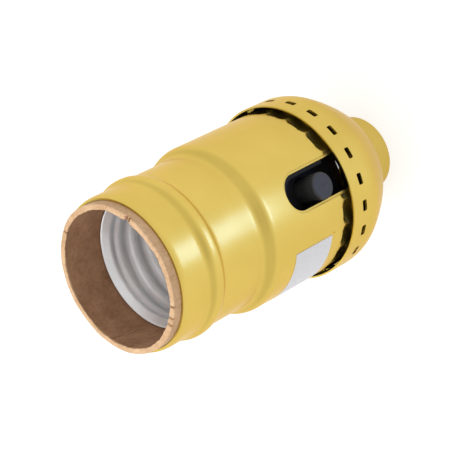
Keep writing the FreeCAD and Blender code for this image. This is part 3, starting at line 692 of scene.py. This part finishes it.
def make_liner():
    """Paper tube with a soft, slightly uneven cut edge and a few cracks in it."""
    low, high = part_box("shell_liner")
    outer = high.x
    wall = [(outer, low.z)]
    wall += line(wall[-1], (outer, high.z - 2.2 * MM), 6)
    wall += line(wall[-1], (outer, high.z - 0.25 * MM), 10)
    wall += arc(wall[-1], (outer - 0.3 * MM, high.z), 0.32 * MM, 1, 4)
    wall += line(wall[-1], (LINER_BORE + 0.2 * MM, high.z), 5)
    wall += arc(wall[-1], (LINER_BORE, high.z - 0.25 * MM), 0.25 * MM, 1, 4)
    wall += line(wall[-1], (LINER_BORE, high.z - 2.2 * MM), 10)
    wall += line(wall[-1], (LINER_BORE, low.z), 6)

    def shape(r, z, a):
        edge = np.clip((z - (high.z - EDGE_BAND)) / EDGE_BAND, 0, 1)
        z = z + edge ** 2 * (ripple(a, CUT_WAVES) - CUT_LOSS * MM)
        for at, width in CRACKS:
            z = z - edge ** 2 * CRACK_DEPTH * ridge(a, at, width)
        inside = r < LINER_BORE + 0.25 * MM
        for at, width in CREASES:
            slanted = at + CREASE_SLANT * (high.z - z)
            r = r + inside * (1 - edge) * CREASE_RISE * ridge(a, slanted, width)
        r = r - inside * edge ** 2 * (ripple(a, FUZZ_WAVES) + FUZZ_SWELL * MM)
        r = r + edge * ripple(a, [(0.04, 3, 0.4)])
        return np.clip(r, LINER_BORE - 0.5 * MM, outer), np.minimum(z, high.z - 0.002 * MM)

    liner = turned("liner_tube", wall, LINER_TURNS, shape)
    finish_piece(liner, PAPER, HOLDER, ["shell_liner"])


# ---- screw shell ----

THREAD_PITCH = 4.08 * MM
THREAD_CREST = 12.35 * MM
THREAD_ROOT = 13.30 * MM
THREAD_SHEET = 0.33 * MM
THREAD_TURNS = 240
ROOT_HEIGHT = 64.4 * MM                  # a root lies here on the +Y side
FLOOR_HOLE = 6.2 * MM
FADE_LOW = 1.2 * MM                      # the thread fades out over these heights
FADE_HIGH = 1.6 * MM


def make_screw_shell():
    """Rolled shell whose wall winds as a right-hand round thread, with a turned-out rim."""
    low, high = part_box("screw_shell")
    rim = high.x
    floor = low.z + 0.5 * MM
    start = low.z + 1.2 * MM
    finish = high.z - 1.9 * MM
    middle = (THREAD_CREST + THREAD_ROOT) / 2
    half = (THREAD_ROOT - THREAD_CREST) / 2
    inner = [(FLOOR_HOLE, floor), (9.0 * MM, floor)]
    inner += line(inner[-1], (middle - 0.6 * MM, floor), 4)
    inner += arc(inner[-1], (middle, start), 0.7 * MM, 1, 5)
    inner += line(inner[-1], (middle, finish), int((finish - start) / THREAD_PITCH * 20))
    inner += arc(inner[-1], (middle + 0.195 * MM, high.z - 1.35 * MM), 0.876 * MM, -1, 6)
    inner += line(inner[-1], (rim - 0.30 * MM, high.z - 0.28 * MM), 6)
    inner += arc(inner[-1], (rim, high.z - 0.12 * MM), 0.35 * MM, -1, 4)
    outer = inset(inner, -THREAD_SHEET)

    def shape(r, z, a):
        fade = np.clip((z - start) / FADE_LOW, 0, 1) * np.clip((finish - z) / FADE_HIGH, 0, 1)
        fade = fade * fade * (3 - 2 * fade)
        wave = np.cos(2 * math.pi * (z - ROOT_HEIGHT) / THREAD_PITCH - (a - math.pi / 2))
        wave = np.sign(wave) * np.abs(wave) ** 0.85
        return r + half * wave * fade * (np.abs(r - middle) < 0.6 * MM), z

    shell = turned("screw_thread", inner + outer[::-1], THREAD_TURNS, shape)
    finish_piece(shell, ROLLED, HOLDER, ["screw_shell"])


# ---- switch bar ----

BAR_TURNS = 96
BAR_ROUND = 0.5 * MM
BAR_CORE = 0.02 * MM                     # radius at which the turned ends start
WITNESS_LENGTH = 2.6 * MM
WITNESS_WIDTH = 0.12 * MM
WITNESS_DEPTH = 0.08 * MM
POCKET_LENGTH = 2.7 * MM
POCKET_DEPTH = 2.5 * MM


def make_bar():
    """Round bar with softened ends, a thin witness line across each end and the rocker's pocket."""
    low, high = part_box("push_bar")
    radius = radius_of("push_bar")
    length = high.y - low.y
    axis = (low.z + high.z) / 2
    wall = [(BAR_CORE, 0.0)]
    wall += line(wall[-1], (radius - BAR_ROUND, 0.0), 6)
    wall += arc(wall[-1], (radius, BAR_ROUND), BAR_ROUND, 1, 8)
    wall += line(wall[-1], (radius, length - BAR_ROUND), 20)
    wall += arc(wall[-1], (radius - BAR_ROUND, length), BAR_ROUND, 1, 8)
    wall += line(wall[-1], (BAR_CORE, length), 6)
    bar = turned("switch_bar_skin", wall, BAR_TURNS)
    bar.data.transform(Matrix.Translation((0, low.y, axis)) @ TOWARD_BACK)

    witness = rectangle(WITNESS_LENGTH / 2, -WITNESS_WIDTH / 2, WITNESS_WIDTH / 2)
    upright = Matrix.Rotation(math.pi / 2, 4, "Z")
    cutters = [prism("line", witness, -WITNESS_DEPTH, WITNESS_DEPTH,
                     Matrix.Translation((0, y, axis)) @ TOWARD_BACK @ upright) for y in (low.y, high.y)]
    middle = (low.y + high.y) / 2
    pocket = rectangle(radius + 0.5 * MM, middle - POCKET_LENGTH / 2, middle + POCKET_LENGTH / 2)
    cutters.append(prism("pocket", pocket, high.z - POCKET_DEPTH, high.z + 1 * MM))
    carve(bar, joined("grooves", cutters))
    finish_piece(bar, BAR_BLACK, "switch_bar", ["push_bar"])


# ---- neck bush and carried-over nodes ----

BUSH_SHANK = 8.0 * MM
BUSH_SEAT = 8.25 * MM
BUSH_FLANGE = 1.8 * MM
PIPE_CREST = 4.62 * MM
PIPE_DEPTH = 0.5 * MM
PIPE_PITCH = 25.4 * MM / 27
BUSH_TURNS = 96
BUSH_SCREW_HOLE = 1.65 * MM
NODE_LOOKS = {
    "neck_set_screw": NICKEL, "insulator_cover": BLACK, "insulator_block": BLACK,
    "centre_contact": BRASS, "centre_rivet": BRASS, "line_strip": BRASS,
    "blade_button": NICKEL, "neutral_strip": NICKEL, "contact_rocker": BRASS,
    "rocker_pin": NICKEL, "body_screw_left": NICKEL, "body_screw_right": NICKEL,
    "terminal_screw_line": BRASS, "terminal_screw_neutral": NICKEL, "blank_label": LABEL,
}


def make_bush():
    """Bush with the pipe thread cut into its bore."""
    low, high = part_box("neck_bush")
    flange = high.x
    seat_top = BUSH_SEAT + BUSH_FLANGE
    ease = 0.4 * MM
    outline = [(PIPE_CREST, 0.0), (BUSH_SHANK - ease, 0.0), (BUSH_SHANK, ease), (BUSH_SHANK, BUSH_SEAT),
               (flange - ease / 2, BUSH_SEAT), (flange, BUSH_SEAT + ease / 2),
               (flange, seat_top - ease / 2), (flange - ease / 2, seat_top),
               (BUSH_SHANK - ease, seat_top), (BUSH_SHANK - ease, high.z - 0.3 * MM),
               (BUSH_SHANK - 0.7 * MM, high.z), (PIPE_CREST, high.z)]
    outline += line(outline[-1], (PIPE_CREST, 0.0), int(high.z / PIPE_PITCH * 10))[:-1]

    def shape(r, z, a):
        bore = np.abs(r - PIPE_CREST) < 0.01 * MM
        from_end = 0.05 * MM
        tooth = 1 - np.abs(2 * ((z / PIPE_PITCH - a / (2 * math.pi)) % 1.0) - 1)
        cut = bore & (z > from_end) & (z < high.z - from_end)
        chamfer = bore & (z < from_end)
        return r + cut * tooth * PIPE_DEPTH + chamfer * PIPE_DEPTH, z

    bush = turned("neck_thread", outline, BUSH_TURNS, shape)
    carve(bush, screw_hole(BUSH_SCREW_HOLE, 3.0 * MM))
    finish_piece(bush, BRASS, HOLDER, ["neck_bush"])


def dress_nodes():
    for name, material in NODE_LOOKS.items():
        dress(frame["nodes"][name], material)


# ---- camera, lights and floor ----

SENSOR_WIDTH = 36.0                      # millimetres, as the camera's data has them
LENS = 127.4336
CAMERA_PLACE = Vector((-0.59, -245.4, 233.9)) * MM       # from the slots' height, before VIEW_TURN
CAMERA_AXES = ((-0.4626, -0.5803, -0.6704), (0.8866, -0.3028, -0.3498), (0.0, -0.7562, 0.6545))
VIEW_TURN = math.radians(7.3)
FLOOR_HALF = 3.0
FLOOR_GREY = 0.45
FLOOR_GLOW = 0.69
PATCH_DIRECTION = (-0.09, -0.87, 0.48)
PATCH_GREY = 0.76
TOP_LIGHT_PLACE = (-0.25, 0.25, 0.75)
STRIP_ANGLE = math.radians(-92)
STRIP_DISTANCE = 78 * MM
STRIP_HEIGHT = 4 * MM


def camera():
    """The photograph's view: from the mouth side, rolled so that the neck points up and right."""
    data = bpy.data.cameras.new("camera")
    data.sensor_width = SENSOR_WIDTH
    data.lens = LENS
    data.clip_start = 0.01
    data.clip_end = 20
    obj = add_object("camera", data)
    turn = Matrix.Rotation(VIEW_TURN, 3, "Z")
    axes = turn @ Matrix(CAMERA_AXES).transposed()
    place = turn @ CAMERA_PLACE
    place.z += SLOT_HEIGHT
    obj.matrix_world = Matrix.Translation(place) @ axes.to_4x4()
    bpy.context.scene.camera = obj


def area_light(name, place, target, width, height, power):
    data = bpy.data.lights.new(name, "AREA")
    data.shape = "RECTANGLE"
    data.size = width
    data.size_y = height
    data.energy = power
    obj = add_object(name, data)
    direction = Vector(target) - Vector(place)
    obj.matrix_world = Matrix.Translation(place) @ direction.to_track_quat("-Z", "Y").to_matrix().to_4x4()
    obj.visible_camera = False
    return obj


def lights():
    """A soft lamp above, and a small blue one low in front that is only seen in gloss."""
    area_light("top", TOP_LIGHT_PLACE, (0, 0, 40 * MM), 0.6, 0.25, 2.0)
    across = STRIP_DISTANCE * math.cos(STRIP_ANGLE)
    along = STRIP_DISTANCE * math.sin(STRIP_ANGLE)
    strip = area_light("strip", (across, along, STRIP_HEIGHT), (0, 0, 45 * MM), 36 * MM, 48 * MM, 0.036)
    strip.data.color = (0.13, 0.27, 1.0)     # the gilt's yellow turns it into a pale streak
    strip.visible_diffuse = False


def floor_material():
    """Pale floor that reads as white, also in the metal, with the object's soft shadow on it."""
    material, tree, shader = new_material("floor")
    path = add_node(tree, "ShaderNodeLightPath")
    seen = maths(tree, "MAXIMUM", path.outputs["Is Camera Ray"], path.outputs["Is Glossy Ray"])
    seen = maths(tree, "MAXIMUM", seen, path.outputs["Is Transmission Ray"])
    feed(tree, shader, {
        "Base Color": (FLOOR_GREY, FLOOR_GREY, FLOOR_GREY, 1),
        "Roughness": 0.9,
        "Specular IOR Level": 0.0,
        "Emission Color": (1, 1, 1, 1),
        "Emission Strength": maths(tree, "MULTIPLY", seen, FLOOR_GLOW),
    })
    return material


def stage():
    half = FLOOR_HALF
    mesh = bpy.data.meshes.new("floor")
    corners = [(-half, -half, 0), (half, -half, 0), (half, half, 0), (-half, half, 0)]
    mesh.from_pydata(corners, [], [(0, 1, 2, 3)])
    floor = add_object("floor", mesh)
    dress(floor, floor_material())


def world():
    """Even white surround with one soft pale-grey patch, raised above the front."""
    surround = bpy.data.worlds.new("studio")
    surround.use_nodes = True
    tree = surround.node_tree
    source = add_node(tree, "ShaderNodeTexCoord")
    toward = add_node(tree, "ShaderNodeVectorMath", {0: source.outputs["Generated"], 1: PATCH_DIRECTION},
                      operation="DOT_PRODUCT")
    patch = rising(tree, toward.outputs["Value"], 0.92, 0.98, "SMOOTHSTEP")
    colour = mixed(tree, patch, (1, 1, 1, 1), (PATCH_GREY, PATCH_GREY, PATCH_GREY, 1))
    feed(tree, tree.nodes["Background"], {"Color": colour})
    bpy.context.scene.world = surround


bpy.context.scene.view_settings.view_transform = "Standard"
camera()
world()
lights()
stage()
make_cap()
make_shell()
make_liner()
make_screw_shell()
make_bar()
make_bush()
dress_nodes()
